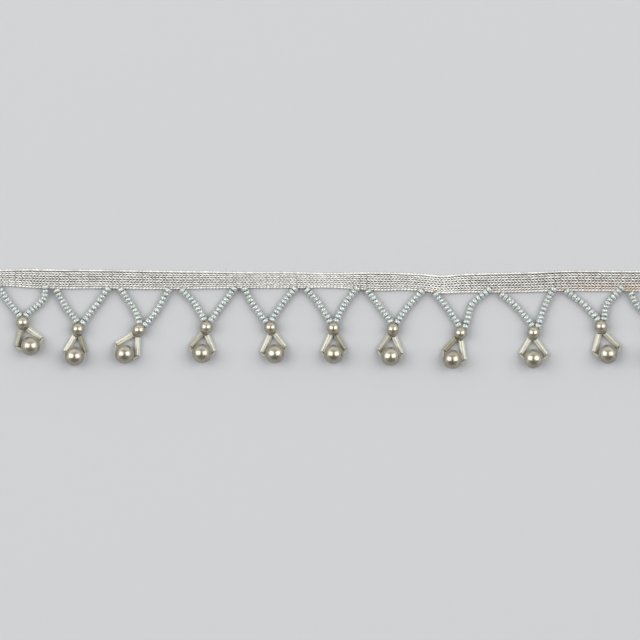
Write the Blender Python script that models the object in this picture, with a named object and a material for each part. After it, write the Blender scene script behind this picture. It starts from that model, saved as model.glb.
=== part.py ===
"""Beaded fringe trim: a narrow knitted tape with eleven strung bead drops along one edge.

It lies face up and flat on a surface at z = 0. Metres, +Z up, X along the tape, +Y the tape's
plain edge and -Y where the drops lie. The origin is under the middle of the trim's box.
Run it with blender --background --python part.py, or from the text editor.
"""

import math
from collections import namedtuple

import bmesh
import bpy
import numpy as np
from mathutils import Vector

MM = 0.001

# Driving dimensions, in millimetres. Beads and pearls are trade sizes.
GAP = 0.3
SEED_WIDTH = 2.0
SEEDS_ON_STRAND = 10
SEED_MOST_PITCH = 1.45
KNOT_PEARL = 4.0
DROP_PEARL = 6.0
PEARL_BORE = 1.0
BUGLE_WIDTH = 1.66
BUGLE_LENGTH = 5.8
BUGLE_BORE = 1.0
TAPE_THICK = 1.0
TAPE_ROWS = 8
EDGE_ROWS = 3
ROW_VALLEY = 0.16
STATION_PITCH = 4.0

# The pucker that crosses the tape: where it is, how wide and how much it lifts the rows.
PUCKER_X = 136.0
PUCKER_WIDTH = 4.0
PUCKER_LIFT = 0.3

# How the strung pieces sit, worked out from the sizes above.
# A seed's square section has about the area of its round one.
SEED_HALF = 0.45 * SEED_WIDTH
SEED_TALL_HALF = SEED_WIDTH / 2
SEED_WAIST = 0.55
SEED_FLAT = 0.28
FOOT_REACH = KNOT_PEARL / 2 + 0.9
ROOT_RISE = 0.3
ROOT_RISE_LENGTH = 3.6
ROOT_DEPTH = 1.5

SEED_GLASS = ("seed_glass", (0.66, 0.75, 0.71, 1.0), 0.25, 0.0)
PEARL_COAT = ("pearl_coat", (0.62, 0.58, 0.50, 1.0), 0.2, 0.3)
BUGLE_GLASS = ("bugle_glass", (0.70, 0.65, 0.52, 1.0), 0.35, 0.0)
TAPE_YARN = ("tape_yarn", (0.80, 0.76, 0.70, 1.0), 0.8, 0.0)

# The tape's two edges. x is measured from the first drop's root, and both heights are from one
# straight line along the tape's plain edge.
TapePlace = namedtuple("TapePlace", "x upper lower")
TAPE = [
    TapePlace(*row)
    for row in (
        (-4.0, 0.1, -4.8),
        (0.6, 0.1, -4.9),
        (3.7, 0.2, -5.0),
        (9.8, 0.3, -5.5),
        (19.0, 0.2, -5.8),
        (31.4, 0.1, -5.7),
        (43.7, -0.1, -5.9),
        (56.0, -0.3, -5.9),
        (65.2, -0.4, -5.7),
        (74.5, -0.6, -5.6),
        (86.8, -0.6, -5.5),
        (93.0, -0.7, -5.6),
        (99.1, -0.9, -5.4),
        (105.2, -0.9, -5.6),
        (111.4, -0.7, -6.1),
        (117.5, -0.7, -6.4),
        (123.7, -0.9, -6.2),
        (129.8, -1.2, -6.5),
        (136.0, -1.7, -7.2),
        (142.2, -1.2, -7.0),
        (151.4, -0.9, -7.0),
        (163.7, -0.6, -6.8),
        (169.8, -0.3, -6.6),
        (176.0, -0.1, -6.5),
        (191.4, -0.2, -6.6),
        (215.4, -0.2, -6.5),
    )
]

# Where each drop lies. Places are (x, y) from the same zero as the tape's table. A strand is
# given by its first seed's place and by one place that it bends through. Angles are in degrees
# to the right of straight up for the two feet, which meet at the knot pearl, and to the right
# of straight down for the bugles: where one starts round the knot pearl, and how it leans.
Strand = namedtuple("Strand", "root bend")
Bugle = namedtuple("Bugle", "start lean")
Drop = namedtuple("Drop", "knot pearl left right feet left_bugle right_bugle")
DROPS = [
    Drop(knot, pearl, Strand(*left), Strand(*right), feet, Bugle(*left_b), Bugle(*right_b))
    for knot, pearl, left, right, feet, left_b, right_b in (
        ((7.1, -16.2), (9.5, -23.4), ((-0.5, -5.2), (3.3, -10.6)), ((13.9, -5.2), (13.7, -8.9)),
         (-36, 18), (-16, -13), (39, 53)),
        ((24.0, -18.2), (23.0, -26.6), ((17.4, -6.4), (20.1, -11.4)), ((33.2, -5.8), (29.8, -10.4)),
         (-17, 37), (-29, -35), (24, 16)),
        ((42.8, -18.5), (38.4, -25.9), ((37.2, -6.0), (41.7, -12.3)), ((51.8, -6.2), (49.0, -11.5)),
         (-3, 51), (-53, -60), (-5, -1)),
        ((63.5, -17.6), (62.1, -25.7), ((56.0, -6.3), (59.8, -10.2)), ((72.0, -5.8), (68.9, -10.4)),
         (-16, 38), (-37, -38), (10, 23)),
        ((83.3, -17.7), (84.6, -25.8), ((75.3, -5.8), (77.8, -10.4)), ((90.7, -5.7), (87.4, -9.9)),
         (-41, 13), (-10, -22), (41, 36)),
        ((102.6, -17.9), (102.7, -25.9), ((94.5, -6.2), (98.0, -10.2)), ((109.9, -5.6), (106.5, -9.9)),
         (-30, 25), (-22, -29), (27, 31)),
        ((120.9, -18.2), (120.2, -26.6), ((113.3, -6.6), (116.9, -11.2)), ((129.8, -6.6), (126.0, -10.9)),
         (-19, 35), (-36, -32), (15, 24)),
        ((141.7, -19.4), (139.2, -27.5), ((134.1, -7.5), (137.3, -11.4)), ((150.5, -6.1), (145.0, -11.2)),
         (-18, 36), (-40, -45), (9, 10)),
        ((164.1, -19.3), (164.1, -27.3), ((154.4, -7.5), (159.1, -11.3)), ((170.3, -5.9), (167.7, -11.3)),
         (-24, 31), (-28, -32), (18, 36)),
        ((184.9, -17.4), (187.0, -25.9), ((174.4, -6.5), (179.9, -10.7)), ((191.2, -5.5), (186.9, -10.5)),
         (-34, 21), (-15, -16), (31, 46)),
        ((202.3, -18.0), (202.6, -26.0), ((194.1, -7.3), (196.1, -10.9)), ((210.5, -6.0), (206.6, -10.6)),
         (-29, 26), (-23, -27), (25, 32)),
    )
]


def material(name, colour, roughness, metallic):
    """A finish shared by every piece that names it."""
    found = bpy.data.materials.get(name)
    if found:
        return found
    made = bpy.data.materials.new(name)
    made.use_nodes = True
    shader = made.node_tree.nodes["Principled BSDF"]
    shader.inputs["Base Color"].default_value = colour
    shader.inputs["Roughness"].default_value = roughness
    shader.inputs["Metallic"].default_value = metallic
    return made


def smooth_read(times, values, t):
    """A smooth curve through values at times, read at t. It passes each one along the chord
    between its neighbours."""
    last = len(times) - 1
    slopes = [
        (values[min(i + 1, last)] - values[max(i - 1, 0)]) / (times[min(i + 1, last)] - times[max(i - 1, 0)])
        for i in range(last + 1)
    ]
    i = int(np.clip(np.searchsorted(times, t) - 1, 0, last - 1))
    span = times[i + 1] - times[i]
    u = (t - times[i]) / span
    return (
        (2 * u**3 - 3 * u**2 + 1) * values[i]
        + (u**3 - 2 * u**2 + u) * span * slopes[i]
        + (3 * u**2 - 2 * u**3) * values[i + 1]
        + (u**3 - u**2) * span * slopes[i + 1]
    )


def tape_edges(x):
    """The heights of the tape's plain edge and of its beaded edge at x."""
    places = [place.x for place in TAPE]
    upper = smooth_read(places, [place.upper for place in TAPE], x)
    lower = smooth_read(places, [place.lower for place in TAPE], x)
    return upper, lower


def pucker(x):
    """How far the pucker lifts the tape's face at x."""
    return PUCKER_LIFT * math.exp(-(((x - PUCKER_X) / PUCKER_WIDTH) ** 2))


def finished_mesh(bm, name, finish):
    """A mesh in metres from a bmesh in millimetres, with its finish."""
    bmesh.ops.scale(bm, vec=(MM, MM, MM), verts=bm.verts)
    bmesh.ops.recalc_face_normals(bm, faces=bm.faces)
    mesh = bpy.data.meshes.new(name)
    bm.to_mesh(mesh)
    bm.free()
    mesh.materials.append(material(*finish))
    return mesh


def piece(name, mesh, parent, place=(0, 0, 0), towards=(1, 0, 0)):
    """An object of the mesh at place, in millimetres, with its X pointing towards a direction."""
    made = bpy.data.objects.new(name, mesh)
    bpy.context.collection.objects.link(made)
    made.parent = parent
    made.location = Vector(place) * MM
    made.rotation_euler = Vector(towards).to_track_quat("X", "Z").to_euler()
    return made


def skin_rings(bm, rings, closed=False):
    """Joins each ring of points to the next, and caps both ends or joins the last to the first."""
    made = [[bm.verts.new(point) for point in ring] for ring in rings]
    count = len(made[0])
    pairs = list(zip(made, made[1:] + made[:1])) if closed else list(zip(made, made[1:]))
    for one, two in pairs:
        for i in range(count):
            j = (i + 1) % count
            bm.faces.new((one[i], one[j], two[j], two[i]))
    if not closed:
        bm.faces.new(list(reversed(made[0])))
        bm.faces.new(made[-1])


def band_section(x, first, last):
    """The outline of rows first to last across the tape at x: flat below, a rib for each row."""
    upper, lower = tape_edges(x)
    height = TAPE_THICK + pucker(x)

    def across(row):
        return upper + (lower - upper) * row / TAPE_ROWS

    start = across(first) - (GAP / 2 if first > 0 else 0.0)
    end = across(last) + (GAP / 2 if last < TAPE_ROWS else 0.0)
    side = height - 2 * ROW_VALLEY
    outline = [(x, end, 0.0), (x, start, 0.0), (x, start, side)]
    for row in range(first, last):
        outline.append((x, across(row + 0.5), height))
        if row + 1 < last:
            outline.append((x, across(row + 1), height - ROW_VALLEY))
    outline.append((x, end, side))
    return outline


def band(name, first, last, parent):
    """Rows first to last of the tape, as one bar from end to end."""
    x_start, x_end = TAPE[0].x, TAPE[-1].x
    count = round((x_end - x_start) / STATION_PITCH)
    stations = [x_start + (x_end - x_start) * i / count for i in range(count + 1)]
    bm = bmesh.new()
    skin_rings(bm, [band_section(x, first, last) for x in stations])
    return piece(name, finished_mesh(bm, name, TAPE_YARN), parent)


def turned(angle, reach, up=1):
    """A step of the given reach, at an angle to the right of straight up, or of straight down."""
    return Vector((reach * math.sin(math.radians(angle)), up * reach * math.cos(math.radians(angle))))


def strand_route(drop, strand, foot_angle):
    """Distances and places along a strand's thread, from its first seed to its last one."""
    knot, root, bend = Vector(drop.knot), Vector(strand.root), Vector(strand.bend)
    foot = knot + turned(foot_angle, FOOT_REACH)
    marks = [root - (bend - root) / 2, root, bend, foot, knot]
    times = [0.0]
    for one, two in zip(marks, marks[1:]):
        times.append(times[-1] + (two - one).length)
    steps = 60
    places = [
        np.array(smooth_read(times, marks, times[1] + (times[3] - times[1]) * i / steps))
        for i in range(steps + 1)
    ]
    runs = [np.linalg.norm(b - a) for a, b in zip(places, places[1:])]
    return np.concatenate([[0.0], np.cumsum(runs)]), np.array(places)


def on_route(route, s):
    """The thread's place at s along it, straight on past either end. It comes down off the tape
    and then lies level."""
    distances, places = route
    inside = min(max(s, 0.0), distances[-1])
    x, y = (np.interp(inside, distances, places[:, k]) for k in (0, 1))
    end = places[:2] if s < inside else places[-2:]
    along = (end[1] - end[0]) / np.linalg.norm(end[1] - end[0])
    share = min(max(s / ROOT_RISE_LENGTH, 0.0), 1.0)
    z = SEED_TALL_HALF + ROOT_RISE * (1 + math.cos(math.pi * share)) / 2
    return Vector((x + along[0] * (s - inside), y + along[1] * (s - inside), z))


def ring_at(route, s, half_wide, half_tall):
    """Four corners round the thread at s, square to it."""
    step = 0.05
    middle = on_route(route, s)
    along = (on_route(route, s + step) - on_route(route, s - step)).normalized()
    side = along.cross(Vector((0, 0, 1))).normalized()
    up = side.cross(along)
    return [
        middle + side * (a * half_wide) + up * (b * half_tall)
        for a, b in ((-1, -1), (1, -1), (1, 1), (-1, 1))
    ]


def seed_string(bm, drop, strand, foot_angle):
    """One strand: seeds on their thread, from inside the tape's edge to the knot pearl."""
    route = strand_route(drop, strand, foot_angle)
    length = route[0][-1]
    gaps = SEEDS_ON_STRAND - 1
    if length / gaps > SEED_MOST_PITCH:
        gaps += 1
    pitch = length / gaps
    inside = strand.root[1] - tape_edges(strand.root[0])[1]
    tail = min(max(ROOT_DEPTH - inside, 0.55), 1.1)
    waist, tall_waist = SEED_HALF * SEED_WAIST, SEED_TALL_HALF * SEED_WAIST
    rings = [ring_at(route, -tail, waist, SEED_TALL_HALF)]
    for seed in range(gaps + 1):
        s = seed * pitch
        rings.append(ring_at(route, s - SEED_FLAT * pitch, SEED_HALF, SEED_TALL_HALF))
        rings.append(ring_at(route, s + SEED_FLAT * pitch, SEED_HALF, SEED_TALL_HALF))
        if seed < gaps:
            rings.append(ring_at(route, s + pitch / 2, waist, tall_waist))
    rings.append(ring_at(route, length + 0.4 * pitch, waist, tall_waist))
    skin_rings(bm, rings)


def seed_fringe(parent):
    """The tape's beaded edge with every strand of seeds sewn into it, as one solid."""
    bm = bmesh.new()
    for drop in DROPS:
        seed_string(bm, drop, drop.left, drop.feet[0])
        seed_string(bm, drop, drop.right, drop.feet[1])
    bmesh.ops.triangulate(bm, faces=bm.faces)
    strings = piece("seed_strings", finished_mesh(bm, "seed_strings", SEED_GLASS), parent)
    strings.hide_render = True
    strings.display_type = "WIRE"
    edge = band("seed_fringe", TAPE_ROWS - EDGE_ROWS, TAPE_ROWS, parent)
    edge.data.materials.append(strings.data.materials[0])
    join = edge.modifiers.new("sewn on", "BOOLEAN")
    join.operation = "UNION"
    join.solver = "EXACT"
    join.object = strings
    return edge


def smoothed(mesh):
    """The mesh, shaded smooth but for its rims."""
    mesh.shade_smooth()
    mesh.set_sharp_from_angle(angle=math.radians(50))
    return mesh


def bored_ball_mesh(name, width, around, along):
    """A drilled pearl, its bore on X. An even number of bands puts a ring at its widest place."""
    radius, bore = width / 2, PEARL_BORE / 2
    mouth = math.asin(bore / radius)
    rings = []
    for i in range(along + 1):
        polar = mouth + (math.pi - 2 * mouth) * i / along
        out, x = radius * math.sin(polar), -radius * math.cos(polar)
        rings.append(
            [
                (x, out * math.sin(2 * math.pi * j / around), -out * math.cos(2 * math.pi * j / around))
                for j in range(around)
            ]
        )
    bm = bmesh.new()
    skin_rings(bm, rings, closed=True)
    return smoothed(finished_mesh(bm, name, PEARL_COAT))


def tube_mesh(name, length, width, bore, sides):
    """A length of glass tube along X from the origin, with a flat side below."""
    rings = []
    for x, size in ((0, bore), (0, width), (length, width), (length, bore)):
        radius = size / 2 / math.cos(math.pi / sides)
        turn = [2 * math.pi * (j + 0.5) / sides for j in range(sides)]
        rings.append([(x, radius * math.sin(a), -radius * math.cos(a)) for a in turn])
    bm = bmesh.new()
    skin_rings(bm, rings, closed=True)
    return smoothed(finished_mesh(bm, name, BUGLE_GLASS))


def bugle_ends(bugle):
    """A bugle's inner and outer end, from the point on the surface under the knot pearl. The
    corner of its inner end that leans towards the pearl stands clear of it by the gap."""
    corner = BUGLE_WIDTH / 2 * abs(math.sin(math.radians(bugle.lean - bugle.start)))
    inner = turned(bugle.start, KNOT_PEARL / 2 + GAP + corner, up=-1)
    outer = inner + turned(bugle.lean, BUGLE_LENGTH, up=-1)
    return Vector((*inner, BUGLE_WIDTH / 2)), Vector((*outer, BUGLE_WIDTH / 2))


def bead_drop(number, drop, meshes, trim):
    """The knot pearl, the two bugles and the drop pearl of one drop, round an empty of its own."""
    hub = bpy.data.objects.new(f"drop_{number:02d}", None)
    bpy.context.collection.objects.link(hub)
    hub.parent = trim
    hub.location = (drop.knot[0] * MM, drop.knot[1] * MM, 0)
    left_inner, left_outer = bugle_ends(drop.left_bugle)
    right_inner, right_outer = bugle_ends(drop.right_bugle)
    feet = turned(drop.feet[0], 1) + turned(drop.feet[1], 1)
    tails = (left_inner + right_inner).to_2d().normalized()
    hang = tails - feet.normalized()
    pearl = Vector(drop.pearl) - Vector(drop.knot)
    piece(f"knot_pearl_{number:02d}", meshes["knot"], hub, (0, 0, KNOT_PEARL / 2), hang.to_3d())
    piece(f"bugle_left_{number:02d}", meshes["bugle"], hub, left_inner, left_outer - left_inner)
    piece(f"bugle_right_{number:02d}", meshes["bugle"], hub, right_inner, right_outer - right_inner)
    across = (right_outer - left_outer).to_2d().to_3d()
    piece(f"drop_pearl_{number:02d}", meshes["pearl"], hub, (*pearl, DROP_PEARL / 2), across)


def box_middle(parts):
    """The middle of the parts' box on the surface, in world space."""
    bpy.context.view_layer.update()
    corners = [part.matrix_world @ vertex.co for part in parts for vertex in part.data.vertices]
    x, y = ([corner[k] for corner in corners] for k in (0, 1))
    return (min(x) + max(x)) / 2, (min(y) + max(y)) / 2


def main():
    for old in list(bpy.data.objects):
        bpy.data.objects.remove(old, do_unlink=True)
    trim = bpy.data.objects.new("trim", None)
    bpy.context.collection.objects.link(trim)
    band("tape", 0, TAPE_ROWS - EDGE_ROWS, trim)
    seed_fringe(trim)
    meshes = {
        "knot": bored_ball_mesh("knot_pearl", KNOT_PEARL, 12, 6),
        "pearl": bored_ball_mesh("drop_pearl", DROP_PEARL, 14, 8),
        "bugle": tube_mesh("bugle", BUGLE_LENGTH, BUGLE_WIDTH, BUGLE_BORE, 8),
    }
    for number, drop in enumerate(DROPS, start=1):
        bead_drop(number, drop, meshes, trim)
    parts = [part for part in bpy.data.objects if part.type == "MESH"]
    x, y = box_middle(parts)
    trim.location = (-x, -y, 0)
    bpy.context.view_layer.update()


main()
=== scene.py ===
"""The looks of the beaded fringe trim: knitted tape, seed beads, pearls, bugles and thread.

Sizes in the tables and in most functions are in millimetres. A place (x, y) has the zero of the
tape's table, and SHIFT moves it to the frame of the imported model, which is in metres.
"""

import math
import random
from collections import namedtuple

import bpy
import numpy as np
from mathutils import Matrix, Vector


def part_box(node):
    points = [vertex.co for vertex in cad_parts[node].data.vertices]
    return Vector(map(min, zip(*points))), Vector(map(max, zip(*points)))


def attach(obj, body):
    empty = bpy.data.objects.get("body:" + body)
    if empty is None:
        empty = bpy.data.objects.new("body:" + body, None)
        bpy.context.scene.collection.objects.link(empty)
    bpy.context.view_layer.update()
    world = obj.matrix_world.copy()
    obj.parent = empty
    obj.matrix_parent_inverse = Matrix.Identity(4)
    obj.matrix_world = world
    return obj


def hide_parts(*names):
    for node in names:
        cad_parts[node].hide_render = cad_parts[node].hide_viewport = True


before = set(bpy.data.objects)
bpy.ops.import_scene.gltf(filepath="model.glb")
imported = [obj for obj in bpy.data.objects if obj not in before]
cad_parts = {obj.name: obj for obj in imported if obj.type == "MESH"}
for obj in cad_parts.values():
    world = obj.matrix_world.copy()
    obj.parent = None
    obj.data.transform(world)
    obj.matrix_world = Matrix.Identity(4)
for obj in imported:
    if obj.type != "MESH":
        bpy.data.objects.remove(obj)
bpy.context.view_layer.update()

MM = 0.001
UP = np.array((0.0, 0.0, 1.0))
chance = random.Random(11)

# The photograph's frame: its middle, and how much of the trim's length it takes in
VIEW_MIDDLE = (98.46, -15.38)
VIEW_WIDTH = 196.9
CAMERA_HEIGHT = 3000.0

# Light and floor, in metres apart from AIM, the place among the drops that the soft boxes point
# at. They stand LIGHT_AHEAD degrees towards +Y of straight up. ROOM_LIGHT holds the room's light
# from level to overhead, as (height, strength), and ROOM_TILT turns it towards +Y.
AIM = (VIEW_MIDDLE[0], -20.0, 0.0)
LIGHT_AHEAD = 9
LIGHT_DISTANCE = 2.4
ROOM_LIGHT = ((0.0, 1.3), (0.9, 0.07))
ROOM_TILT = -0.4
FLOOR_REACH = 6.0
FLOOR_DROP = 0.00003

# Names that end in OUTLINE, AROUND, ALONG, SIDES and STEPS count the points of a mesh or a route.

# Seed beads, each a little off in size, length, place and tilt. A strand whose seeds would stand
# further apart than SEED_MOST_PITCH gets one more. A seed is bare of its lustre at its bore, and
# painted shade, near black, darkens it where it meets its neighbours. Neither reaches further out
# than BARE_SHADE_REACH outside the middle of its ring, and both are whole BARE_SHADE_FADE further
# in. ROOT_CREAM is how much creamer the first seed is on a drop's left and right strand.
SEED_WIDTH = 2.1
SEED_BORE = 0.6
SEEDS_ON_STRAND = 10
SEED_MOST_PITCH = 1.45
SEED_SIZES = (0.96, 1.03)
SEED_LENGTHS = (0.94, 1.01)
SEED_STRAY = 0.06
SEED_TILT = 0.1
SEED_TONES = (0.0, 0.7)
ROOT_CREAM = (0.15, 0.45)
SEED_OUTLINE = 14
SEED_AROUND = 24
BARE_SHADE_REACH = 0.22
BARE_SHADE_FADE = 0.2

# Pearls. A bore widens to its mouth by MOUTH_WIDER, and MOUTH_STEPS holds how deep in the bore and
# how much wider than it the steps there are. The lacquer is worn round the mouth. Threads go in at
# a share of a pearl's radius.
KNOT_PEARL = 4.0
DROP_PEARL = 6.0
PEARL_BORE = 1.0
PEARL_AROUND = 48
PEARL_ALONG = 28
MOUTH_WIDER = 0.12
MOUTH_STEPS = ((0.05, 0.03), (0.2, 0.0))
WORN_REACH = 0.3
WORN_MOST = 0.7
KNOT_TONES = (0.6, 1.0)
DROP_TONES = (0.0, 0.4)
KNOT_BORE_END = 0.93
DROP_BORE_END = 0.96

# Bugles, fluted tubes whose ends are snapped off: chipped unevenly, up to CHIP_DEPTHS at the outer
# and the inner end, and hollow on the upper side.
BUGLE_WIDTH = 1.74
BUGLE_BORE = 0.84
BUGLE_RIM = 0.03
BUGLE_AROUND = 48
BUGLE_ALONG = 10
FLUTES = 6
FLUTE_DEPTH = 0.05
CHIPS = 9
CHIP_DEPTHS = (0.16, 0.1)
END_HOLLOW = 0.3
END_REACH = 0.6
SHARP_EDGE = 50

# Threads. Between two pieces a thread arches up, and beside a drop pearl it lies double. Its curve
# has a place every THREAD_PITCH, and THREAD_FEWEST at least. The sewing goes from a root over the
# tape's beaded edge into a hole beside it. OVER_EDGE and HOLES are where across the tape that is,
# and OVER_EDGE also how high.
THREAD = 0.36
ARCH = (0.0, 0.0, 0.1)
DOUBLED = 1.8
THREAD_PITCH = 0.3
THREAD_FEWEST = 6
THREAD_SIDES = 8
SEWING_THREAD = 0.38
OVER_EDGE = (0.955, 1.22)
HOLES = 0.872
HOLE_BESIDE = 0.55

# Strands lie on the floor, and rise to the tape's edge at the root and to the knot pearl's bore at
# the foot. FOOT_REACH is from the pearl's middle to the last seed's. A seed points along its strand
# as that runs from LOOK before it to LOOK after it.
FOOT_REACH = KNOT_PEARL / 2 + 0.55
FOOT_RISE = 0.55
FOOT_RISE_LENGTH = 4.2
ROOT_RISE = 0.55
ROOT_RISE_LENGTH = 4.6
LOOK = 0.1
ROUTE_STEPS = 60

# The tape, with the one place where it is pinched and lifts
TAPE_THICK = 1.0
STITCH = 1.03
COURSE_STRAY = 0.05
YARN_SPREAD = (0.93, 1.07)
YARN_FLAT = 0.86
FACE_SIDES = 8
BACK_SIDES = 5
PUCKER_X = 136.0
PUCKER_WIDTH = 4.0
PUCKER_LIFT = 0.3
EDGE_PITCH = 0.1
GROUND_STEPS = 220

# How high the tape's plain edge, upper, and its beaded edge, lower, are at x
TapePlace = namedtuple("TapePlace", "x upper lower")
TAPE = [
    TapePlace(*row)
    for row in (
        (-4.0, 0.1, -4.8),
        (0.6, 0.1, -4.9),
        (3.7, 0.2, -5.0),
        (9.8, 0.3, -5.5),
        (19.0, 0.2, -5.8),
        (31.4, 0.1, -5.7),
        (43.7, -0.1, -5.9),
        (56.0, -0.3, -5.9),
        (65.2, -0.4, -5.7),
        (74.5, -0.6, -5.6),
        (86.8, -0.6, -5.5),
        (93.0, -0.7, -5.6),
        (99.1, -0.9, -5.4),
        (105.2, -0.9, -5.6),
        (111.4, -0.7, -6.1),
        (117.5, -0.7, -6.4),
        (123.7, -0.9, -6.2),
        (129.8, -1.2, -6.5),
        (136.0, -1.7, -7.2),
        (142.2, -1.2, -7.0),
        (151.4, -0.9, -7.0),
        (163.7, -0.6, -6.8),
        (169.8, -0.3, -6.6),
        (176.0, -0.1, -6.5),
        (191.4, -0.2, -6.6),
        (215.4, -0.2, -6.5),
    )
]

# Strands go by their first seed's place and a place that they bend through, and feet by degrees to
# the right of straight up. A bugle's inner end is near mm from the knot pearl's middle, start
# degrees to the right of straight down, and it leans to the right of straight down for long mm.
# These sit within 0.7 mm of the part's own. shade goes from 0, bright cream, to 1, smoky.
Strand = namedtuple("Strand", "root bend")
Bugle = namedtuple("Bugle", "start near lean long shade")
Drop = namedtuple("Drop", "knot pearl left right feet left_bugle right_bugle")
DROPS = [
    Drop(knot, pearl, Strand(*left), Strand(*right), feet, Bugle(*left_b), Bugle(*right_b))
    for knot, pearl, left, right, feet, left_b, right_b in (
        ((7.1, -16.2), (9.5, -23.4),
         ((-0.5, -5.2), (3.2, -10.5)), ((13.9, -5.2), (13.5, -8.9)),
         (-26, 23), (-16, 1.94, -13, 5.8, 0.8), (35, 2.02, 54.5, 5.7, 0.1)),
        ((24.0, -18.2), (23.0, -26.6),
         ((17.4, -6.4), (20.3, -11.4)), ((33.2, -5.8), (29.7, -10.8)),
         (-12, 37), (-25, 2.14, -30.5, 6.0, 0.0), (17, 1.9, 17, 5.7, 1.0)),
        ((42.8, -18.5), (38.4, -25.9),
         ((37.2, -6.0), (41.4, -12.3)), ((51.8, -6.2), (48.8, -11.7)),
         (1, 50), (-54, 1.94, -59, 6.4, 0.08), (-11, 1.98, -1.5, 6.1, 0.05)),
        ((63.5, -17.6), (62.1, -25.7),
         ((56.0, -6.3), (59.8, -10.2)), ((72.0, -5.8), (68.8, -10.3)),
         (-16.5, 32.5), (-33, 1.94, -39.5, 5.9, 0.7), (2, 2.26, 22.5, 5.9, 0.15)),
        ((83.3, -17.7), (84.6, -25.8),
         ((75.3, -5.8), (77.8, -10.4)), ((90.7, -5.7), (87.3, -9.9)),
         (-39, 10), (-5, 2.18, -23.5, 6.2, 0.15), (31, 1.94, 38, 5.8, 0.25)),
        ((102.6, -17.9), (102.7, -25.9),
         ((94.5, -6.2), (98.0, -10.2)), ((109.9, -5.6), (106.3, -10.1)),
         (-28, 21), (-23, 1.94, -24.5, 6.3, 0.05), (21, 1.94, 30.5, 5.7, 0.88)),
        ((120.9, -18.2), (120.2, -26.6),
         ((113.3, -6.6), (116.8, -11.2)), ((129.8, -6.6), (125.7, -11.1)),
         (-17, 32), (-29, 1.94, -35, 6.1, 0.6), (8, 2.18, 23.5, 6.0, 0.15)),
        ((141.7, -19.4), (139.2, -27.5),
         ((134.1, -7.5), (137.3, -11.4)), ((150.5, -6.1), (145.2, -10.8)),
         (-13.5, 35.5), (-42, 1.9, -42, 5.7, 0.85), (4, 2.06, 8.5, 6.4, 0.0)),
        ((164.1, -19.3), (164.1, -27.3),
         ((154.4, -7.5), (159.2, -11.6)), ((170.3, -5.9), (167.7, -10.9)),
         (-15.5, 33.5), (-30, 2.02, -30, 5.7, 0.12), (16, 2.02, 35.5, 6.2, 0.2)),
        ((184.9, -17.4), (187.0, -25.9),
         ((174.4, -6.5), (179.7, -10.7)), ((191.2, -5.5), (186.7, -10.8)),
         (-27.5, 21.5), (-15, 2.1, -15, 6.2, 0.2), (28, 2.14, 46, 6.4, 0.4)),
        ((202.3, -18.0), (202.6, -26.0),
         ((194.1, -7.3), (196.1, -10.9)), ((210.5, -6.0), (206.6, -10.6)),
         (-26, 23), (-22, 1.94, -26.5, 6.2, 0.2), (20, 1.98, 32, 6.1, 0.5)),
    )
]

low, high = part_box("drop_pearl_06")
SHIFT = np.array((*((low + high) / 2).to_2d(), 0.0)) / MM - np.array((*DROPS[5].pearl, 0.0))


# Camera, light and floor


def in_frame(place):
    """A place in millimetres from the table's zero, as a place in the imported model's frame."""
    return Vector((np.array(place, float) + SHIFT) * MM)


def camera():
    """Straight above, over the middle of the photograph's frame."""
    data = bpy.data.cameras.new("camera")
    data.lens = data.sensor_width * CAMERA_HEIGHT / VIEW_WIDTH
    data.clip_start = 0.01
    made = bpy.data.objects.new("camera", data)
    bpy.context.collection.objects.link(made)
    made.location = in_frame((*VIEW_MIDDLE, CAMERA_HEIGHT))
    bpy.context.scene.camera = made


def room():
    """A dim room, lighter low down and towards +Y."""
    world = bpy.data.worlds.new("studio")
    bpy.context.scene.world = world
    world.use_nodes = True
    graph = Graph(world.node_tree)
    place = graph.node("ShaderNodeTexCoord").outputs["Generated"]
    split = graph.node("ShaderNodeSeparateXYZ", {0: place}).outputs
    tilted = {0: split["Y"], 1: ROOM_TILT, 2: split["Z"]}
    height = graph.node("ShaderNodeMath", tilted, operation="MULTIPLY_ADD").outputs[0]
    ramp = graph.node("ShaderNodeValToRGB", {0: height})
    for stop, (position, light) in zip(ramp.color_ramp.elements, ROOM_LIGHT):
        stop.position = position
        stop.color = (light, light, light, 1)
    graph.links.new(ramp.outputs["Color"], graph.nodes["Background"].inputs["Color"])


def soft_box(name, side, size, power):
    """A soft light, side degrees to the right of straight up over the drops."""
    data = bpy.data.lights.new(name, "AREA")
    data.shape = "RECTANGLE"
    data.size, data.size_y = size
    data.energy = power
    made = bpy.data.objects.new(name, data)
    bpy.context.collection.objects.link(made)
    right, ahead = (math.tan(math.radians(angle)) for angle in (side, LIGHT_AHEAD))
    target = in_frame(AIM)
    made.location = target + Vector((right, ahead, 1.0)).normalized() * LIGHT_DISTANCE
    made.rotation_euler = (target - made.location).to_track_quat("-Z", "Y").to_euler()


def floor():
    """A plain pale floor, a hair under the trim."""
    mesh = bpy.data.meshes.new("floor")
    corners = (-1, -1, 0), (1, -1, 0), (1, 1, 0), (-1, 1, 0)
    mesh.from_pydata([Vector(corner) * FLOOR_REACH for corner in corners], [], [(0, 1, 2, 3)])
    made = bpy.data.objects.new("floor", mesh)
    bpy.context.collection.objects.link(made)
    made.location.z = -FLOOR_DROP
    paper, graph = new_material("floor_paper")
    graph.set(base=(0.39, 0.394, 0.404), rough=0.7)
    mesh.materials.append(paper)


# Materials

SOCKETS = {
    "base": "Base Color",
    "rough": "Roughness",
    "metal": "Metallic",
    "coat": "Coat Weight",
    "coat_rough": "Coat Roughness",
    "coat_ior": "Coat IOR",
    "sheen": "Sheen Weight",
    "sheen_rough": "Sheen Roughness",
    "sheen_tint": "Sheen Tint",
    "glossy": "Specular IOR Level",
    "edge_tint": "Specular Tint",
    "milky": "Subsurface Weight",
    "milky_reach": "Subsurface Scale",
    "milky_tint": "Subsurface Radius",
}


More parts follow.
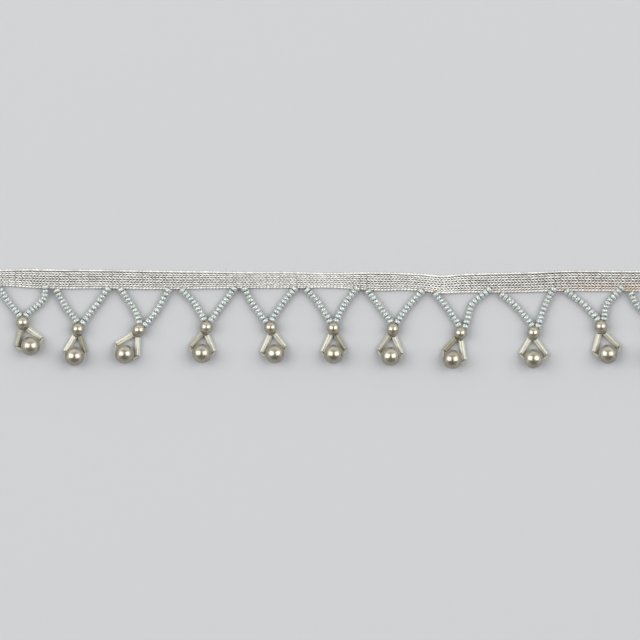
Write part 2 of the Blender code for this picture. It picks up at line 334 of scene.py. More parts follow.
class Graph:
    """The nodes of a material, an effect or the room, with short calls for the ones used here."""

    def __init__(self, tree):
        self.nodes, self.links = tree.nodes, tree.links
        self.shader = self.nodes.get("Principled BSDF")

    def node(self, kind, sources=(), **settings):
        """A node of the kind, its settings made and each named or numbered input linked or set."""
        made = self.nodes.new(kind)
        for name, value in settings.items():
            setattr(made, name, value)
        for key, value in dict(sources).items():
            self.feed(made.inputs[key], value)
        return made

    def feed(self, socket, value):
        """Links an output to the socket, or sets it to a number or a colour."""
        if isinstance(value, bpy.types.NodeSocket):
            self.links.new(value, socket)
        elif socket.type == "RGBA" and len(value) == 3:
            socket.default_value = (*value, 1.0)
        else:
            socket.default_value = value

    def set(self, **values):
        """Feeds the shader's own sockets."""
        for name, value in values.items():
            self.feed(self.shader.inputs[SOCKETS[name]], value)

    def places(self, scale=(1, 1, 1)):
        """The object's own coordinates in millimetres, scaled."""
        where = self.node("ShaderNodeTexCoord").outputs["Object"]
        made = self.node("ShaderNodeMapping", {"Vector": where, "Scale": [k / MM for k in scale]})
        return made.outputs["Vector"]

    def own_places(self, scale=(1, 1, 1)):
        """The same, moved for each bead by its own tone, so that no two beads are alike."""
        step = self.node("ShaderNodeVectorMath", {0: (91.0, 57.0, 33.0)}, operation="SCALE")
        self.feed(step.inputs["Scale"], self.attribute("tone"))
        both = {0: self.places(scale), 1: step.outputs[0]}
        return self.node("ShaderNodeVectorMath", both, operation="ADD").outputs[0]

    def noise(self, vector, scale, detail=2.0, rough=0.5):
        """Soft noise over a vector."""
        sources = {"Vector": vector, "Scale": scale, "Detail": detail, "Roughness": rough}
        return self.node("ShaderNodeTexNoise", sources).outputs["Fac"]

    def attribute(self, name, output="Fac"):
        """A value that the mesh holds for each of its points."""
        return self.node("ShaderNodeAttribute", attribute_name=name).outputs[output]

    def math(self, how, one, two=0.5):
        """Two numbers worked together."""
        return self.node("ShaderNodeMath", {0: one, 1: two}, operation=how).outputs[0]

    def span(self, value, from_low, from_high, to_low=0.0, to_high=1.0):
        """A number moved from one range to another, and kept within it."""
        sources = {0: value, 1: from_low, 2: from_high, 3: to_low, 4: to_high}
        return self.node("ShaderNodeMapRange", sources).outputs[0]

    def mix(self, share, one, two):
        """Two colours mixed, with a share of the second."""
        return self.node("ShaderNodeMix", {0: share, 6: one, 7: two}, data_type="RGBA").outputs[2]

    def bump(self, height, depth, strength):
        """Bumps of a depth in millimetres on the shader's normal."""
        sources = {"Height": height, "Distance": depth * MM, "Strength": strength}
        made = self.node("ShaderNodeBump", sources)
        self.links.new(made.outputs["Normal"], self.shader.inputs["Normal"])

    def effect(self, group, **sources):
        """A shared effect placed here with this material's own values."""
        made = self.node("ShaderNodeGroup", node_tree=group)
        for name, value in sources.items():
            self.feed(made.inputs[name.capitalize()], value)
        return made.outputs


def new_material(name):
    """A material and its graph."""
    made = bpy.data.materials.new(name)
    made.use_nodes = True
    return made, Graph(made.node_tree)


def new_effect(name, inputs, outputs):
    """A node group with named sockets: it, its graph, its inputs and its output's inputs."""
    tree = bpy.data.node_groups.new(name, "ShaderNodeTree")
    for way, sockets in (("INPUT", inputs), ("OUTPUT", outputs)):
        for label, kind in sockets.items():
            tree.interface.new_socket(name=label, in_out=way, socket_type="NodeSocket" + kind)
    graph = Graph(tree)
    return tree, graph, graph.node("NodeGroupInput").outputs, graph.node("NodeGroupOutput").inputs


def clouding():
    """Two tints in soft clouds, and the clouds' own share for roughness or bumps."""
    tree, graph, given, put = new_effect(
        "clouding",
        {"Place": "Vector", "Size": "Float", "Share": "Float", "Tint": "Color", "Cloud": "Color"},
        {"Color": "Color", "Clouds": "Float"},
    )
    clouds = graph.noise(given["Place"], graph.math("DIVIDE", 1.0, given["Size"]), 3.0)
    shown = graph.math("MULTIPLY", graph.span(clouds, 0.35, 0.65), given["Share"])
    graph.feed(put["Color"], graph.mix(shown, given["Tint"], given["Cloud"]))
    graph.feed(put["Clouds"], clouds)
    return tree


def yarn_twist():
    """The twist of a yarn's filaments. Run holds the place along and round it, and its tone."""
    tree, graph, given, put = new_effect(
        "yarn_twist",
        {"Run": "Vector", "Turns": "Float", "Wear": "Float", "Light": "Color", "Shade": "Color"},
        {"Color": "Color", "Ridges": "Float"},
    )
    filaments = 5.0
    run, around, tone = graph.node("ShaderNodeSeparateXYZ", {0: given["Run"]}).outputs
    along = graph.math("MULTIPLY", run, given["Turns"])
    twist = graph.math("ADD", along, graph.math("MULTIPLY", around, filaments))
    ridges = graph.math("SINE", graph.math("MULTIPLY", twist, 2 * math.pi))
    lit = graph.span(ridges, -1.0, 1.0, 0.62, 1.0)
    worn = graph.math("MULTIPLY", graph.span(tone, 0.0, 1.0, 1.0, 0.0), given["Wear"])
    colour = graph.mix(lit, given["Shade"], given["Light"])
    graph.feed(put["Color"], graph.mix(worn, colour, given["Shade"]))
    graph.feed(put["Ridges"], ridges)
    return tree


def seed_material(clouds):
    """Opaque pale mint glass with a pearly lustre, bare of it at the bore and darkened by painted
    shade where seeds meet. tone runs from cool mint to cream.
    """
    made, graph = new_material("seed_lustre")
    mint, cream, lustre = (0.30, 0.335, 0.32), (0.37, 0.384, 0.357), (0.52, 0.558, 0.538)
    # Painted shade, near black, in the bore and in the notches where the seeds meet
    painted_gap_shade = (0.02, 0.025, 0.023)
    where = graph.own_places()
    tint = graph.mix(graph.attribute("tone"), mint, cream)
    clouded = graph.effect(clouds, place=where, size=0.8, share=0.5, tint=tint, cloud=lustre)
    # bare holds where a seed is bare of lustre at its bore, and where painted shade falls between
    # seeds
    colour = graph.mix(graph.attribute("bare"), clouded["Color"], painted_gap_shade)
    graph.set(base=colour, rough=graph.span(clouded["Clouds"], 0.3, 0.7, 0.16, 0.26), metal=0.1)
    graph.set(coat=1.0, coat_rough=0.06, glossy=0.7)
    graph.set(sheen=0.35, sheen_rough=0.4, sheen_tint=(0.88, 1.0, 0.95))
    graph.set(milky=1.0, milky_reach=0.8 * MM, milky_tint=(0.88, 1.0, 0.96))
    graph.bump(clouded["Clouds"], 0.03, 0.4)
    return made


def pearl_material(clouds):
    """Champagne pearl lacquer, worn pale round its bore. tone runs from dull to pale."""
    made, graph = new_material("pearl_lacquer")
    dull, pale, cloud = (0.235, 0.217, 0.17), (0.34, 0.314, 0.246), (0.385, 0.357, 0.277)
    speck, bare = (0.45, 0.413, 0.32), (0.52, 0.475, 0.36)
    where = graph.own_places()
    tint = graph.mix(graph.attribute("tone"), dull, pale)
    clouded = graph.effect(clouds, place=where, size=2.4, share=0.8, tint=tint, cloud=cloud)
    fine = graph.noise(where, 7.0, 2.0)
    colour = graph.mix(graph.span(fine, 0.45, 0.8, 0.0, 0.25), clouded["Color"], speck)
    colour = graph.mix(graph.attribute("worn"), colour, bare)
    graph.set(base=colour, rough=graph.span(fine, 0.3, 0.7, 0.22, 0.31), metal=0.75)
    graph.set(coat=1.0, coat_rough=0.14, coat_ior=1.6, edge_tint=(0.36, 0.33, 0.255))
    graph.set(sheen=0.1, sheen_rough=0.3, sheen_tint=(0.9, 0.83, 0.66))
    graph.bump(fine, 0.02, 0.5)
    return made


def bugle_material():
    """Satin glass, with painted shade in fine dotted lines deep in its flutes and its bore, and
    painted light towards its sides. shade, from cream to smoky, is each bugle's own.
    """
    made, graph = new_material("bugle_satin")
    cream_low, cream_high = (0.42, 0.407, 0.322), (0.63, 0.62, 0.517)
    smoke_low, smoke_high = (0.11, 0.099, 0.056), (0.225, 0.203, 0.128)
    wall_cream, wall_smoke = (0.60, 0.59, 0.502), (0.265, 0.24, 0.16)
    flute_shade_cream, flute_shade_smoky = (0.14, 0.128, 0.095), (0.042, 0.036, 0.022)
    streak = graph.noise(graph.own_places((0.12, 1.0, 1.0)), 3.2, 3.0, 0.6)
    shade = graph.attribute("shade")
    cream = graph.mix(graph.span(streak, 0.3, 0.7), cream_low, cream_high)
    smoky = graph.mix(graph.span(streak, 0.35, 0.65), smoke_low, smoke_high)
    colour = graph.mix(shade, cream, smoky)
    # Painted light: the bugle paler towards its sides
    colour = graph.mix(graph.attribute("wall"), colour, graph.mix(shade, wall_cream, wall_smoke))
    dots = graph.noise(graph.own_places((0.5, 1.0, 1.0)), 4.5, 1.0)
    dots = graph.span(dots, 0.4, 0.55, 0.4, 1.0)
    # Painted shade, dotted, deep in the flutes near the top and through the bore
    dotted = graph.math("MULTIPLY", graph.attribute("groove"), dots)
    lines = graph.mix(shade, flute_shade_cream, flute_shade_smoky)
    colour = graph.mix(graph.math("MULTIPLY", dotted, 0.85), colour, lines)
    graph.set(base=colour, rough=graph.span(streak, 0.3, 0.7, 0.25, 0.45))
    graph.set(coat=0.5, coat_rough=0.12, glossy=0.6)
    graph.set(sheen=0.45, sheen_rough=0.22, sheen_tint=(1.0, 0.99, 0.93))
    graph.bump(streak, 0.02, 0.4)
    return made


def tape_material(twist):
    """Silky ivory yarn, with a faint peach stain low down towards the right end."""
    made, graph = new_material("tape_yarn_silk")
    ivory, shadow, deep = (0.83, 0.816, 0.776), (0.31, 0.297, 0.266), (0.07, 0.066, 0.057)
    peach = (0.60, 0.42, 0.32)
    run = graph.attribute("yarn", "Vector")
    spun = graph.effect(twist, run=run, turns=2.4, wear=0.25, light=ivory, shade=shadow)
    sunk = graph.math("MULTIPLY", graph.attribute("deep"), 0.7)
    yarn = graph.mix(sunk, spun["Color"], deep)
    where = graph.places()
    x = graph.node("ShaderNodeSeparateXYZ", {0: where}).outputs[0]
    low_rows = graph.span(graph.attribute("row"), 0.45, 0.8)
    blotch = graph.span(graph.noise(where, 0.12, 2.0), 0.42, 0.62)
    stain = graph.math("MULTIPLY", low_rows, blotch)
    stain = graph.math("MULTIPLY", stain, graph.span(x, 45.0, 75.0, 0.0, 0.5))
    graph.set(base=graph.mix(stain, yarn, peach), rough=0.42)
    graph.set(sheen=0.2, sheen_rough=0.35, sheen_tint=(1.0, 0.98, 0.94), glossy=0.7)
    graph.bump(spun["Ridges"], 0.03, 0.6)
    return made


# The light and the shade of the two threads
STRUNG_TINTS = ((0.44, 0.405, 0.295), (0.26, 0.228, 0.152))
SEWN_TINTS = ((0.47, 0.38, 0.245), (0.28, 0.20, 0.12))


def thread_material(name, twist, light, shade):
    """Waxed two-ply thread."""
    made, graph = new_material(name)
    run = graph.attribute("yarn", "Vector")
    spun = graph.effect(twist, run=run, turns=1.6, wear=0.4, light=light, shade=shade)
    graph.set(base=spun["Color"], rough=0.42, glossy=0.5, sheen=0.15, sheen_rough=0.4)
    graph.bump(spun["Ridges"], 0.05, 0.7)
    return made


def ground_material(clouds):
    """The inside of the knit between its stitches, in shadow."""
    made, graph = new_material("knit_ground")
    dark, lint = (0.018, 0.017, 0.015), (0.055, 0.052, 0.045)
    where = graph.places()
    clouded = graph.effect(clouds, place=where, size=0.35, share=1.0, tint=dark, cloud=lint)
    graph.set(base=clouded["Color"], rough=0.8, sheen=0.1)
    graph.bump(clouded["Clouds"], 0.15, 0.7)
    return made


# Mesh making


class Stock:
    """Points and faces gathered for one mesh, with the values that its points hold."""

    def __init__(self):
        self.points, self.faces, self.values, self.count = [], [], {}, 0

    def add(self, points, faces, **values):
        """Adds points and faces. Each value is one for all the points, or has a row for each."""
        points = np.asarray(points, float)
        self.points.append(points)
        self.faces.extend([[self.count + i for i in face] for face in faces])
        for name, value in values.items():
            value = np.asarray(value, float)
            shape = (len(points), 3) if value.ndim == 2 else (len(points),)
            self.values.setdefault(name, []).append(np.broadcast_to(value, shape))
        self.count += len(points)

    def mesh(self, name, material):
        """The mesh in metres, shaded smooth."""
        made = bpy.data.meshes.new(name)
        made.from_pydata((np.concatenate(self.points) * MM).tolist(), [], self.faces)
        for key, rows in self.values.items():
            rows = np.concatenate(rows)
            kind, field = ("FLOAT_VECTOR", "vector") if rows.ndim == 2 else ("FLOAT", "value")
            made.attributes.new(key, kind, "POINT").data.foreach_set(field, rows.ravel())
        made.materials.append(material)
        made.shade_smooth()
        return made


def show(mesh, nodes, location=(0, 0, 0), rotation=(0, 0, 0)):
    """A piece named as its mesh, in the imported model's frame, with the nodes that it stands for."""
    made = bpy.data.objects.new(mesh.name, mesh)
    bpy.context.collection.objects.link(made)
    made.location = location
    made.rotation_euler = rotation
    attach(made, "root")
    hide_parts(*nodes)


def run_lengths(path):
    """How far along a path each of its places is."""
    return np.concatenate([[0], np.cumsum(np.linalg.norm(np.diff(path, axis=0), axis=1))])


def tube(path, radii, sides, flat=1.0):
    """A round-ended tube: its points, faces, and each point's place along and round it. flat is
    its height as a share of its width."""
    path = np.asarray(path, float)
    radii = np.broadcast_to(np.asarray(radii, float), (len(path),))
    steps = np.gradient(path, axis=0)
    steps /= np.linalg.norm(steps, axis=1)[:, None]
    side = np.cross(steps, UP)
    side /= np.linalg.norm(side, axis=1)[:, None]
    up = np.cross(side, steps)
    turn = 2 * math.pi * np.arange(sides) / sides - math.pi / 2
    across, rise = np.cos(turn)[None, :, None], flat * np.sin(turn)[None, :, None]
    ring = across * side[:, None] + rise * up[:, None]
    points = (path[:, None] + ring * radii[:, None, None]).reshape(-1, 3)
    bulge = 0.5
    ends = [path[0] - steps[0] * radii[0] * bulge, path[-1] + steps[-1] * radii[-1] * bulge]
    runs = run_lengths(path)
    around = np.tile(np.arange(sides) / sides, len(path))
    places = np.column_stack([np.repeat(runs, sides), around])
    places = np.vstack([places, [runs[0], 0.5], [runs[-1], 0.5]])
    faces, last = [], (len(path) - 1) * sides
    for j in range(sides):
        k = (j + 1) % sides
        faces += [[i + j, i + sides + j, i + sides + k, i + k] for i in range(0, last, sides)]
        faces += [[last + sides, j, k], [last + sides + 1, last + k, last + j]]
    return np.vstack([points, ends]), faces, places


def turned_points(outline, around):
    """The points of an outline of (x, radius) turned all the way round X."""
    turn = 2 * math.pi * np.arange(around) / around
    return [(x, radius * math.cos(a), radius * math.sin(a)) for x, radius in outline for a in turn]


def turned_faces(rows, around):
    """The faces of a closed outline turned all the way round: rows of points, each of around."""
    return [
        [i * around + j, (i + 1) % rows * around + j, (i + 1) % rows * around + k, i * around + k]
        for i in range(rows)
        for j in range(around)
        for k in [(j + 1) % around]
    ]


def axes_along(direction, roll):
    """Three square axes, the first along a direction, as the rows of a matrix."""
    x = np.asarray(direction, float) / np.linalg.norm(direction)
    y = np.cross(UP, x)
    y /= np.linalg.norm(y)
    z = np.cross(x, y)
    c, s = math.cos(roll), math.sin(roll)
    return np.array([x, c * y + s * z, c * z - s * y])


# Steps, places and curves


def unit(vector):
    """The vector at length 1."""
    return vector / np.linalg.norm(vector)


def turned(angle, reach, up=1):
    """A step of the given reach, at an angle to the right of straight up, or of straight down."""
    radians = math.radians(angle)
    return np.array((reach * math.sin(radians), up * reach * math.cos(radians)))


def at_height(place, z):
    """A place on the floor raised to z."""
    return np.array((place[0], place[1], z))


def by_chance(most):
    """A step on the floor of up to most each way."""
    return np.array((chance.uniform(-most, most), chance.uniform(-most, most), 0.0))


def smooth_read(times, values, t):
    """A smooth curve through values at times, read at t."""
    last = len(times) - 1
    beside = [(max(i - 1, 0), min(i + 1, last)) for i in range(last + 1)]
    slopes = [(values[b] - values[a]) / (times[b] - times[a]) for a, b in beside]
    i = int(np.clip(np.searchsorted(times, t) - 1, 0, last - 1))
    span = times[i + 1] - times[i]
    u = (t - times[i]) / span
    return (
        (2 * u**3 - 3 * u**2 + 1) * values[i]
        + (u**3 - 2 * u**2 + u) * span * slopes[i]
        + (3 * u**2 - 2 * u**3) * values[i + 1]
        + (u**3 - u**2) * span * slopes[i + 1]
    )


# The tape

EDGE_PLACES = np.arange(TAPE[0].x, TAPE[-1].x + EDGE_PITCH, EDGE_PITCH)
TAPE_XS, *TAPE_HEIGHTS = zip(*TAPE)
EDGE_HEIGHTS = [[smooth_read(TAPE_XS, edge, x) for x in EDGE_PLACES] for edge in TAPE_HEIGHTS]


def tape_edges(x):
    """The heights of the tape's plain edge and of its beaded edge at x."""
    return tuple(np.interp(x, EDGE_PLACES, heights) for heights in EDGE_HEIGHTS)


def on_tape(x, across, height):
    """A place on the tape: across runs from 0 at its plain edge to 1 at its beaded edge."""
    upper, lower = tape_edges(x)
    pucker = PUCKER_LIFT * math.exp(-(((x - PUCKER_X) / PUCKER_WIDTH) ** 2))
    return np.array((x, upper + (lower - upper) * across, height * (1 + pucker / TAPE_THICK)))


# A yarn's run through one stitch. along is in stitches, out in half wales from the wale's middle
# line (or in shares of the tape's width for the two edges), high and thick are in millimetres.
Bend = namedtuple("Bend", "along out high thick")


def bends(*rows):
    """The bends of a yarn's run."""
    return [Bend(*row) for row in rows]


LEG = bends(
    (0.68, -0.06, 0.58, 0.13),
    (0.42, 0.24, 0.745, 0.183),
    (0.13, 0.48, 0.86, 0.215),
    (-0.13, 0.53, 0.86, 0.215),
    (-0.42, 0.79, 0.745, 0.183),
    (-0.68, 1.14, 0.58, 0.13),
)
PLAIN_EDGE = bends(
    (0.78, 0.085, 0.50, 0.16),
    (0.45, 0.062, 0.66, 0.27),
    (0.12, 0.052, 0.74, 0.31),
    (-0.22, 0.050, 0.74, 0.31),
    (-0.52, 0.060, 0.64, 0.26),
    (-0.80, 0.085, 0.48, 0.15),
)
BEADED_EDGE = bends(
    (-0.66, 0.985, 0.44, 0.15),
    (-0.42, 0.972, 0.62, 0.24),
    (-0.12, 0.957, 0.78, 0.31),
    (0.16, 0.942, 0.78, 0.30),
    (0.42, 0.922, 0.62, 0.22),
    (0.66, 0.895, 0.46, 0.13),
)

# The middle and half the width of each wale, as shares of the tape's width
WALES = ((0.25, 0.115), (0.505, 0.131), (0.765, 0.120))

# The back's stitches mirror the face's: the heights of the two add up to FACE_TO_BACK. A yarn is
# in shadow between the faces, from DEEP_REACH of their middle, and fully so DEEP_FADE further in.
FACE_TO_BACK = 1.14
DEEP_REACH = 0.42
DEEP_FADE = 0.3

# The outline across the knit's dark body: across as a share of the tape's width, and how high
GROUND = (
    (0.08, 0.3),
    (0.03, 0.42),
    (0.03, 0.56),
    (0.08, 0.64),
    (0.92, 0.64),
    (0.975, 0.56),
    (0.975, 0.42),
    (0.92, 0.3),
)

# The yarns that stand out where the tape was cut: where across it, how high and how far out. A
# row of CUT_PATH is how far inside the cut a place is, and its shares of the yarn's own reach, lean
# and level.
CUT_ACROSS = np.linspace(0.06, 0.95, 11)
CUT_LEVELS = (0.3, 0.72)
CUT_REACH = (0.1, 0.75)
CUT_LEAN = 0.03
CUT_PATH = ((1.1, 0, 0, 1.0), (0.4, 0, 0, 1.1), (0, 0.5, 0.5, 1.0), (0, 1, 1, 0.85))
CUT_RADII = (0.2, 0.24, 0.2, 0.13)
CUT_SIDES = 7


def add_yarn(stock, path, radii, sides, flat=1.0):
    """A yarn or thread along a path, with the values that its material reads."""
    points, faces, run = tube(path, radii, sides, flat)
    tone = np.full(len(points), chance.random())
    upper, lower = tape_edges(points[:, 0])
    row = np.clip((points[:, 1] - upper) / (lower - upper), 0, 1)
    from_middle = np.abs(points[:, 2] - FACE_TO_BACK / 2)
    deep = np.clip((DEEP_REACH - from_middle) / DEEP_FADE, 0, 1)
    stock.add(points + SHIFT, faces, yarn=np.column_stack([run, tone]), row=row, deep=deep)


def knit(name, sides, yarn, back=False):
    """One face of the tape: three wales of stitches between two edge chains."""
    stock = Stock()
    first, last = TAPE[0].x, TAPE[-1].x
    courses = round((last - first) / STITCH) - 1
    rows = [(PLAIN_EDGE, 0.0, 1.0), (BEADED_EDGE, 0.0, 1.0)]
    rows += [(LEG, middle, side * half) for middle, half in WALES for side in (-1, 1)]
    for course in range(1, courses + 1):
        x = first + STITCH * (course + chance.uniform(-COURSE_STRAY, COURSE_STRAY))
        for row, middle, reach in rows:
            loose = chance.uniform(*YARN_SPREAD)
            path = []
            for bend in row:
                high = bend.high * loose
                high = FACE_TO_BACK - high if back else high
                path.append(on_tape(x + bend.along * STITCH, middle + reach * bend.out, high))
            add_yarn(stock, path, [bend.thick * loose for bend in row], sides, YARN_FLAT)
    if not back:
        cut_ends(stock)
    show(stock.mesh(name, yarn), ["tape", "seed_fringe"])


def cut_ends(stock):
    """Short yarn ends that stand out where the tape was cut."""
    for end, way in ((TAPE[0].x, -1), (TAPE[-1].x, 1)):
        for across in CUT_ACROSS:
            for level in CUT_LEVELS:
                reach = chance.uniform(*CUT_REACH) * way
                lean = chance.uniform(-CUT_LEAN, CUT_LEAN)
                path = [
                    on_tape(end - inside * way + reach * out, across + lean * aside, level * rise)
                    for inside, out, aside, rise in CUT_PATH
                ]
                add_yarn(stock, path, CUT_RADII, CUT_SIDES)


def ground(clouds):
    """The closed body of the knit between its two faces."""
    first, last = TAPE[0].x, TAPE[-1].x
    points = [
        on_tape(first + (last - first) * i / GROUND_STEPS, across, high)
        for i in range(GROUND_STEPS + 1)
        for across, high in GROUND
    ]
    wide = len(GROUND)
    faces = [
        [i * wide + j, i * wide + k, (i + 1) * wide + k, (i + 1) * wide + j]
        for i in range(GROUND_STEPS)
        for j in range(wide)
        for k in [(j + 1) % wide]
    ]
    faces += [list(range(wide))[::-1], [GROUND_STEPS * wide + j for j in range(wide)]]
    stock = Stock()
    stock.add(np.array(points) + SHIFT, faces)
    show(stock.mesh("tape_ground", ground_material(clouds)), ["tape"])


# The strung pieces


def add_thread(stock, path, radius):
    """A thread through the places of a path, on a smooth curve."""
    runs = run_lengths(path)
    count = max(THREAD_FEWEST, round(runs[-1] / THREAD_PITCH))
    smooth = [smooth_read(list(runs), list(path), runs[-1] * i / count) for i in range(count + 1)]
    add_yarn(stock, smooth, radius, THREAD_SIDES)


def strand_route(drop, strand, foot_angle):
    """Distances and places along a strand's thread, from its first seed to its last one."""
    knot, root, bend = np.array(drop.knot), np.array(strand.root), np.array(strand.bend)
    foot = knot + turned(foot_angle, FOOT_REACH)
    marks = [root - (bend - root) / 2, root, bend, foot, knot]
    times = list(run_lengths(marks))
    _, start, _, end, _ = times
    places = [
        smooth_read(times, marks, start + (end - start) * i / ROUTE_STEPS)
        for i in range(ROUTE_STEPS + 1)
    ]
    return run_lengths(places), np.array(places)


def on_route(route, s):
    """The thread's place at s along it, straight on past either end."""
    distances, places = route
    inside = min(max(s, 0.0), distances[-1])
    x, y = (np.interp(inside, distances, places[:, k]) for k in (0, 1))
    end = places[:2] if s < inside else places[-2:]
    along = unit(end[1] - end[0])
    root = min(max(s / ROOT_RISE_LENGTH, 0.0), 1.0)
    foot = min(max((distances[-1] - s) / FOOT_RISE_LENGTH, 0.0), 1.0)
    z = SEED_WIDTH / 2 + ROOT_RISE * (1 - root) ** 2 + FOOT_RISE * (1 - foot) ** 2
    return np.array((x + along[0] * (s - inside), y + along[1] * (s - inside), z))


def seed_outline(half_length):
    """The closed outline of a seed bead, as (x, radius)."""
    outer, inner = SEED_WIDTH / 2, SEED_BORE / 2
    middle, thick = (outer + inner) / 2, (outer - inner) / 2
    turns = [2 * math.pi * i / SEED_OUTLINE for i in range(SEED_OUTLINE)]
    return [(math.cos(t) * half_length, middle + thick * math.sin(t)) for t in turns]


def bare_and_shade_share(outline):
    """How dark each place of a seed's outline is: bare of lustre at the bore and in painted shade
    where it meets its neighbours, and none of either outside.
    """
    middle = (SEED_WIDTH + SEED_BORE) / 4
    return [min(max((middle + BARE_SHADE_REACH - r) / BARE_SHADE_FADE, 0.0), 1.0) for _, r in outline]


def seed_strand(stock, threads, drop, strand, foot_angle, mouth, cream):
    """The seeds on one strand, and the thread through them to the knot pearl's bore."""
    route = strand_route(drop, strand, foot_angle)
    length = route[0][-1]
    gaps = SEEDS_ON_STRAND - 1
    if length / gaps > SEED_MOST_PITCH:
        gaps += 1
    pitch = length / gaps
    thread = []
    for seed in range(gaps + 1):
        s = seed * pitch
        size = chance.uniform(*SEED_SIZES)
        place = on_route(route, s) + by_chance(SEED_STRAY)
        place[2] += (size - 1.0) * SEED_WIDTH / 2
        along = unit(on_route(route, s + LOOK) - on_route(route, s - LOOK)) + by_chance(SEED_TILT)
        tone = chance.uniform(*SEED_TONES) + (cream if seed == 0 else 0.0)
        outline = seed_outline(pitch / 2 / size * chance.uniform(*SEED_LENGTHS))
        # bare: bare of lustre at the bore, and painted shade where the seed meets its neighbours
        bare = np.repeat(bare_and_shade_share(outline), SEED_AROUND)
        outline = [(x * size, radius * size) for x, radius in outline]
        points = np.array(turned_points(outline, SEED_AROUND)) @ axes_along(along, chance.random())
        faces = turned_faces(len(outline), SEED_AROUND)
        stock.add(points + place + SHIFT, faces, tone=min(tone, 1.0), bare=bare)
        thread.append(place)
    lead_in = thread[0] + (thread[0] - thread[1]) * 0.3
    path = [lead_in, *thread, (thread[-1] + mouth) / 2 + ARCH, mouth]
    add_thread(threads, path, THREAD / 2)


def pearl_mesh(name, width, tone, material):
    """A drilled pearl, its bore on X with a softened mouth."""
    radius, bore = width / 2, PEARL_BORE / 2
    mouth = math.asin((bore + MOUTH_WIDER) / radius)
    polars = [mouth + (math.pi - 2 * mouth) * i / PEARL_ALONG for i in range(PEARL_ALONG + 1)]
    outline = [(radius * math.cos(polar), radius * math.sin(polar)) for polar in polars]
    worn = [max(0.0, 1.0 - (r - bore) / WORN_REACH) * WORN_MOST for _, r in outline]
    deep = radius * math.cos(mouth)
    outline += [(inset - deep, bore + wider) for inset, wider in MOUTH_STEPS]
    outline += [(deep - inset, bore + wider) for inset, wider in reversed(MOUTH_STEPS)]
    worn += [1.0] * (len(outline) - len(worn))
    points = turned_points(outline, PEARL_AROUND)
    faces = turned_faces(len(outline), PEARL_AROUND)
    stock = Stock()
    stock.add(points, faces, worn=np.repeat(worn, PEARL_AROUND), tone=tone)
    return stock.mesh(name, material)


def snapped_off(chips, a):
    """How much is missing from a bugle's end at an angle round it."""
    at = a / (2 * math.pi) * CHIPS
    share = at - int(at)
    hollow = END_HOLLOW * max(0.0, math.sin(a)) ** 1.5
    return hollow + (1 - share) * chips[int(at) % CHIPS] + share * chips[(int(at) + 1) % CHIPS]


def bugle_mesh(name, length, shade, material):
    """A bugle: a fluted glass tube along X, its two ends snapped off hollow on the upper side.
    Each point holds how pale it is painted towards the tube's sides, as painted light, and a little
    in the bore, and how dark it is painted deep in a flute near its top and through the bore, as
    painted shade."""
    radius, bore = BUGLE_WIDTH / 2, BUGLE_BORE / 2
    rim = radius - BUGLE_RIM
    outline = [(length, rim), (length - BUGLE_RIM, radius)]
    outline += [(length * (1 - i / BUGLE_ALONG), radius) for i in range(1, BUGLE_ALONG)]
    outline += [(BUGLE_RIM, radius), (0.0, rim)]
    outline += [(x, bore) for x in (0.0, END_REACH, length - END_REACH, length)]
    far_chips, near_chips = (
        [chance.uniform(0, most) for _ in range(CHIPS)] for most in CHIP_DEPTHS
    )
    roll = chance.random() * math.pi
    points, groove, wall = [], [], []
    for x, r in outline:
        outer = r > bore
        for j in range(BUGLE_AROUND):
            a = 2 * math.pi * j / BUGLE_AROUND
            flute = 0.5 + 0.5 * math.cos(FLUTES * a + roll)
            size = r * (1 - FLUTE_DEPTH * flute) if outer else r
            near = snapped_off(near_chips, a) * max(0.0, 1 - x / END_REACH)
            far = snapped_off(far_chips, a) * max(0.0, 1 - (length - x) / END_REACH)
            points.append((x + near - far, size * math.cos(a), size * math.sin(a)))
            aside = abs(math.cos(a))
            # Painted shade deep in a flute near the top and in the bore, and painted light towards
            # the sides
            groove.append(flute**3 * (1 - aside**8) if outer else 0.45)
            wall.append(aside**3 if outer else 0.3)
    faces = turned_faces(len(outline), BUGLE_AROUND)
    stock = Stock()
    stock.add(points, faces, groove=groove, wall=wall, shade=shade, tone=chance.random())
    made = stock.mesh(name, material)
    made.set_sharp_from_angle(angle=math.radians(SHARP_EDGE))
    return made


def flat_turn(direction):
    """The turn about Z that points X along a direction on the floor."""
    return (0.0, 0.0, math.atan2(direction[1], direction[0]))


def pearl(node, width, place, bore, tone, material):
    """A drilled pearl on the floor, in the place of its node."""
    mesh = pearl_mesh(node.replace("pearl", "lacquer"), width, tone, material)
    middle = in_frame(at_height(place, width / 2))
    show(mesh, [node], middle, flat_turn(bore))


def bugle_ends(bugle):
    """A bugle's inner and outer end, from the knot pearl's middle."""
    inner = turned(bugle.start, bugle.near, up=-1)
    return inner, inner + turned(bugle.lean, bugle.long, up=-1)


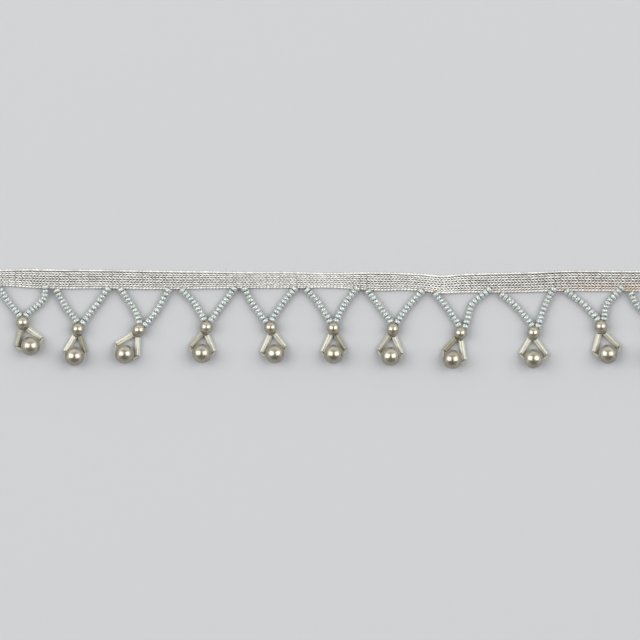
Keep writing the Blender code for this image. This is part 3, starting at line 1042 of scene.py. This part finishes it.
def bead_drop(number, drop, seeds, threads, lacquer, satin):
    """One drop: its strands, knot pearl, bugles, drop pearl and threads."""
    knot, low_pearl = np.array(drop.knot), np.array(drop.pearl)
    ends = [bugle_ends(bugle) for bugle in (drop.left_bugle, drop.right_bugle)]
    # The knot pearl's bore runs from between the strands' feet to between the bugles
    feet = unit(turned(drop.feet[0], 1) + turned(drop.feet[1], 1))
    hang = unit(unit(ends[0][0] + ends[1][0]) - feet)
    centre = KNOT_PEARL / 2
    mouth, out = (at_height(knot + way * hang * centre * KNOT_BORE_END, centre) for way in (-1, 1))
    for strand, foot, cream in zip((drop.left, drop.right), drop.feet, ROOT_CREAM):
        seed_strand(seeds, threads, drop, strand, foot, mouth, cream)
    tone = chance.uniform(*KNOT_TONES)
    pearl(f"knot_pearl_{number:02d}", KNOT_PEARL, knot, hang, tone, lacquer)
    across = unit(ends[1][1] - ends[0][1])
    tone = chance.uniform(*DROP_TONES)
    pearl(f"drop_pearl_{number:02d}", DROP_PEARL, low_pearl, across, tone, lacquer)
    middle = at_height(low_pearl, DROP_PEARL / 2)
    across = at_height(across, 0.0)
    bugles = ("left", -1, drop.left_bugle), ("right", 1, drop.right_bugle)
    for (side, way, bugle), (inner, outer) in zip(bugles, ends):
        lean = unit(outer - inner)
        start = at_height(knot + inner, BUGLE_WIDTH / 2)
        mesh = bugle_mesh(f"{side}_bugle_{number:02d}", bugle.long, bugle.shade, satin)
        node = f"bugle_{side}_{number:02d}"
        show(mesh, [node], in_frame(start), flat_turn(lean))
        end = at_height(knot + outer, BUGLE_WIDTH / 2)
        lean = at_height(lean, 0.0)
        path = [out, (out + start) / 2 + ARCH, start, start + lean]
        add_thread(threads, path, THREAD / 2)
        double_thread(threads, end, lean, middle, way * across)


def double_thread(threads, end, lean, middle, way):
    """The thread out of a bugle's outer end and into the drop pearl, from the side that way is."""
    radius = DROP_PEARL / 2
    over_rim, below_bore = (0, 0, 0.35), (0, 0, 0.3)
    path = [
        end - lean,
        end - lean * 0.3,
        end + lean * 0.12 + over_rim,
        middle + way * (radius + 0.05) - below_bore,
        middle + way * radius * DROP_BORE_END,
    ]
    add_thread(threads, path, THREAD / 2 * DOUBLED)


def root_stitch(strand, way):
    """The sewing from a strand's root over the tape's beaded edge and down into the knit."""
    root, bend = np.array(strand.root), np.array(strand.bend)
    hole_x = root[0] + way * HOLE_BESIDE
    return [
        at_height(root - unit(bend - root) * 0.35, SEED_WIDTH / 2 + ROOT_RISE),
        on_tape((root[0] + hole_x) / 2, *OVER_EDGE),
        on_tape(hole_x, HOLES + 0.02, 0.92),
        on_tape(hole_x + way * 0.45, HOLES, 0.7),
    ]


def root_sewing(stock):
    """The sewing thread at the roots. Between two drops it goes over the tape's beaded edge at
    each root, and runs along in the holes above the edge. At the end roots it goes in alone."""
    paths = []
    for one, two in zip(DROPS, DROPS[1:]):
        start, end = root_stitch(one.right, 1), root_stitch(two.left, -1)
        gap = end[-1][0] - start[-1][0]
        run = [on_tape(start[-1][0] + gap * share, HOLES, 0.5) for share in (0.2, 0.8)]
        paths.append(start + run + end[::-1])
    alone = [root_stitch(DROPS[0].left, -1), root_stitch(DROPS[-1].right, 1)]
    first, last = [stitch + [stitch[-1] - (0, 0, 0.2)] for stitch in alone]
    for path in [first, *paths, last]:
        add_thread(stock, path, SEWING_THREAD / 2)


def main():
    """The whole scene. The pieces keep this order, because they share one run of chance."""
    camera()
    room()
    soft_box("left_box", side=-40, size=(1.8, 2.25), power=53)
    soft_box("right_box", side=36, size=(1.9, 2.15), power=51)
    floor()
    bpy.context.scene.view_settings.view_transform = "Standard"
    clouds, twist = clouding(), yarn_twist()
    silk = tape_material(twist)
    knit("tape_knit", FACE_SIDES, silk)
    knit("tape_back", BACK_SIDES, silk, back=True)
    ground(clouds)
    lacquer, satin = pearl_material(clouds), bugle_material()
    seeds, threads, sewing = Stock(), Stock(), Stock()
    for number, drop in enumerate(DROPS, start=1):
        bead_drop(number, drop, seeds, threads, lacquer, satin)
    show(seeds.mesh("seed_beads", seed_material(clouds)), ["seed_fringe"])
    strung = thread_material("stringing_thread", twist, *STRUNG_TINTS)
    show(threads.mesh("stringing_thread", strung), ["seed_fringe"])
    root_sewing(sewing)
    sewn = thread_material("sewing_thread", twist, *SEWN_TINTS)
    show(sewing.mesh("sewing_thread", sewn), ["seed_fringe"])


main()
